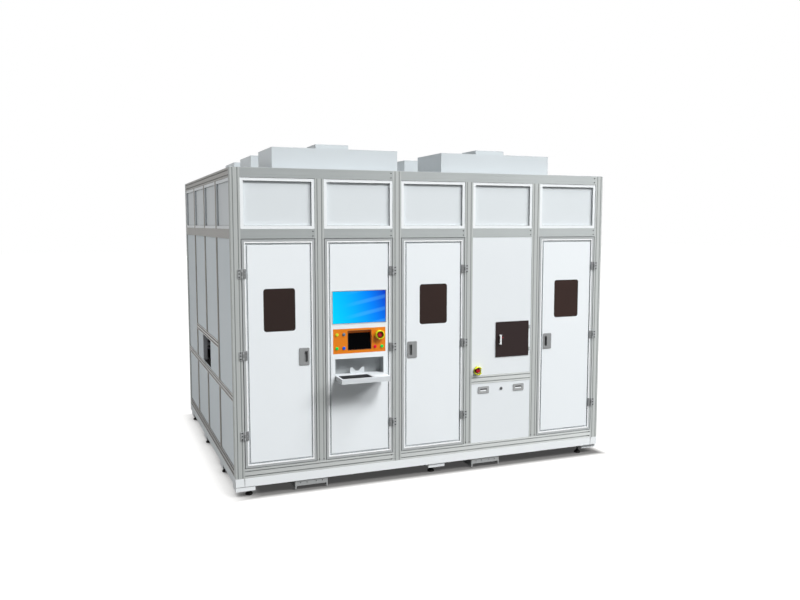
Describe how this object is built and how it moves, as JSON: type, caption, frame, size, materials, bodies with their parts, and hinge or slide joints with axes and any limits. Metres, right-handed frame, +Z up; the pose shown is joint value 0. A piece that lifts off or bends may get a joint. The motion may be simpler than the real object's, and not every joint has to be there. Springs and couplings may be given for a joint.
{
  "type": "laser drilling machine",
  "caption": "Walk-in laser drilling machine: slotted aluminium enclosure on a steel base, hinged doors with windows, operator console, roof filter units and a granite drilling bed.",
  "frame": {"origin": "centre of the footprint on the floor, the footprint taken from the keyboard shelf's front edge to the back panels", "axes": "+X to the right as seen by the operator, +Y from the console into the machine, +Z up"},
  "size_m": [3.66, 3.28, 3.045],
  "materials": {
    "white_paint": "satin powder coat",
    "base_paint": "satin paint on welded steel",
    "aluminium": "matt anodised",
    "zinc": "zinc plated",
    "black_rubber": "matt",
    "smoked_acrylic": "tinted acrylic sheet",
    "grey_plastic": "moulded, fine grain",
    "orange_paint": "satin",
    "black_plastic": "fine grain",
    "screen": "lit display",
    "touch_glass": "dark glass",
    "niche_paint": "matt",
    "guard_yellow": "moulded",
    "stop_red": "moulded",
    "cap_yellow": "moulded",
    "cap_grey": "moulded",
    "cap_green": "moulded",
    "cap_blue": "moulded",
    "cap_red": "moulded",
    "granite": "honed stone",
    "stand_paint": "satin",
    "bright_steel": "ground",
    "cabinet_paint": "light grey powder coat",
    "head_paint": "satin"
  },
  "bodies": {
    "enclosure": {"base_frame": "base_paint", "fork_channels": "zinc", "levelling_feet": "black_rubber", "posts": "aluminium", "side_mullions": "aluminium", "long_beams": "aluminium", "side_beams": "aluminium", "roof_sheet": "white_paint", "top_panels": "white_paint", "wall_panels": "white_paint", "door_stops": "aluminium", "fan_filter_units": "white_paint", "fixed_hinge_leaves": "zinc", "bay_panel": "white_paint", "bay_estop_guard": "guard_yellow", "bed_stand": "stand_paint", "granite_bed": "granite", "granite_bridge": "granite", "linear_rails": "bright_steel", "laser_source": "cabinet_paint", "electrical_cabinet": "cabinet_paint"},
    "door_1": {"door_1_frame": "aluminium", "door_1_panel": "white_paint", "door_1_window": "smoked_acrylic", "door_1_handle": "grey_plastic"},
    "door_3": {"door_3_frame": "aluminium", "door_3_panel": "white_paint", "door_3_window": "smoked_acrylic", "door_3_handle": "grey_plastic"},
    "door_5": {"door_5_frame": "aluminium", "door_5_panel": "white_paint", "door_5_window": "smoked_acrylic", "door_5_handle": "grey_plastic"},
    "door_2": {"door_2_frame": "aluminium", "door_2_panel": "white_paint", "monitor_housing": "black_plastic", "monitor_screen": "screen", "control_fascia": "orange_paint", "touch_panel": "touch_glass", "keyboard_niche": "niche_paint", "keyboard_shelf": "white_paint", "keyboard": "black_plastic", "door_estop_guard": "guard_yellow"},
    "button_yellow": {"button_yellow": "cap_yellow"},
    "button_grey": {"button_grey": "cap_grey"},
    "button_green_left": {"button_green_left": "cap_green"},
    "button_blue": {"button_blue": "cap_blue"},
    "button_red": {"button_red": "cap_red"},
    "button_green_right": {"button_green_right": "cap_green"},
    "door_estop": {"door_estop_head": "stop_red"},
    "bay_estop": {"bay_estop_head": "stop_red"},
    "hatch": {"hatch_panel": "smoked_acrylic", "hatch_handle": "white_paint"},
    "service_cover": {"service_panel": "white_paint", "service_pulls": "grey_plastic"},
    "service_key_lock": {"service_lock": "zinc"},
    "work_table": {"table_carriage": "aluminium", "vacuum_chuck": "aluminium"},
    "head_carriage": {"bridge_carriage": "aluminium"},
    "focus_head": {"scan_head": "head_paint"}
  },
  "joints": [
    {"name": "door_1_hinge", "type": "hinge", "parent": "enclosure", "child": "door_1", "pos_m": [-1.747, -1.467, 1.221], "axis": [0, 0, -1], "range_deg": [0, 110]},
    {"name": "door_2_hinge", "type": "hinge", "parent": "enclosure", "child": "door_2", "pos_m": [-0.401, -1.467, 1.221], "axis": [0, 0, 1], "range_deg": [0, 95]},
    {"name": "door_3_hinge", "type": "hinge", "parent": "enclosure", "child": "door_3", "pos_m": [0.315, -1.467, 1.221], "axis": [0, 0, 1], "range_deg": [0, 95]},
    {"name": "door_5_hinge", "type": "hinge", "parent": "enclosure", "child": "door_5", "pos_m": [1.747, -1.467, 1.221], "axis": [0, 0, 1], "range_deg": [0, 110]},
    {"name": "hatch_hinge", "type": "hinge", "parent": "enclosure", "child": "hatch", "pos_m": [1.0118, -1.4633, 1.227], "axis": [0, 0, 1], "range_deg": [0, 110]},
    {"name": "service_cover_lift_off", "type": "slide", "parent": "enclosure", "child": "service_cover", "axis": [0, -1, 0], "range_m": [0, 0.3]},
    {"name": "service_lock_turn", "type": "hinge", "parent": "service_cover", "child": "service_key_lock", "pos_m": [0.716, -1.458, 0.75], "axis": [0, 1, 0], "range_deg": [0, 90]},
    {"name": "button_yellow_press", "type": "slide", "parent": "door_2", "child": "button_yellow", "axis": [0, 1, 0], "range_m": [0, 0.004], "stiffness_N_per_m": 800},
    {"name": "button_grey_press", "type": "slide", "parent": "door_2", "child": "button_grey", "axis": [0, 1, 0], "range_m": [0, 0.004], "stiffness_N_per_m": 800},
    {"name": "button_green_left_press", "type": "slide", "parent": "door_2", "child": "button_green_left", "axis": [0, 1, 0], "range_m": [0, 0.004], "stiffness_N_per_m": 800},
    {"name": "button_blue_press", "type": "slide", "parent": "door_2", "child": "button_blue", "axis": [0, 1, 0], "range_m": [0, 0.004], "stiffness_N_per_m": 800},
    {"name": "button_red_press", "type": "slide", "parent": "door_2", "child": "button_red", "axis": [0, 1, 0], "range_m": [0, 0.004], "stiffness_N_per_m": 800},
    {"name": "button_green_right_press", "type": "slide", "parent": "door_2", "child": "button_green_right", "axis": [0, 1, 0], "range_m": [0, 0.004], "stiffness_N_per_m": 800},
    {"name": "door_estop_press", "type": "slide", "parent": "door_2", "child": "door_estop", "axis": [0, 1, 0], "range_m": [0, 0.005]},
    {"name": "bay_estop_press", "type": "slide", "parent": "enclosure", "child": "bay_estop", "axis": [0, 1, 0], "range_m": [0, 0.005]},
    {"name": "table_travel", "type": "slide", "parent": "enclosure", "child": "work_table", "axis": [1, 0, 0], "range_m": [0, 1]},
    {"name": "head_travel", "type": "slide", "parent": "enclosure", "child": "head_carriage", "axis": [0, 1, 0], "range_m": [-0.26, 0.26]},
    {"name": "focus_travel", "type": "slide", "parent": "head_carriage", "child": "focus_head", "axis": [0, 0, -1], "range_m": [0, 0.05]}
  ]
}
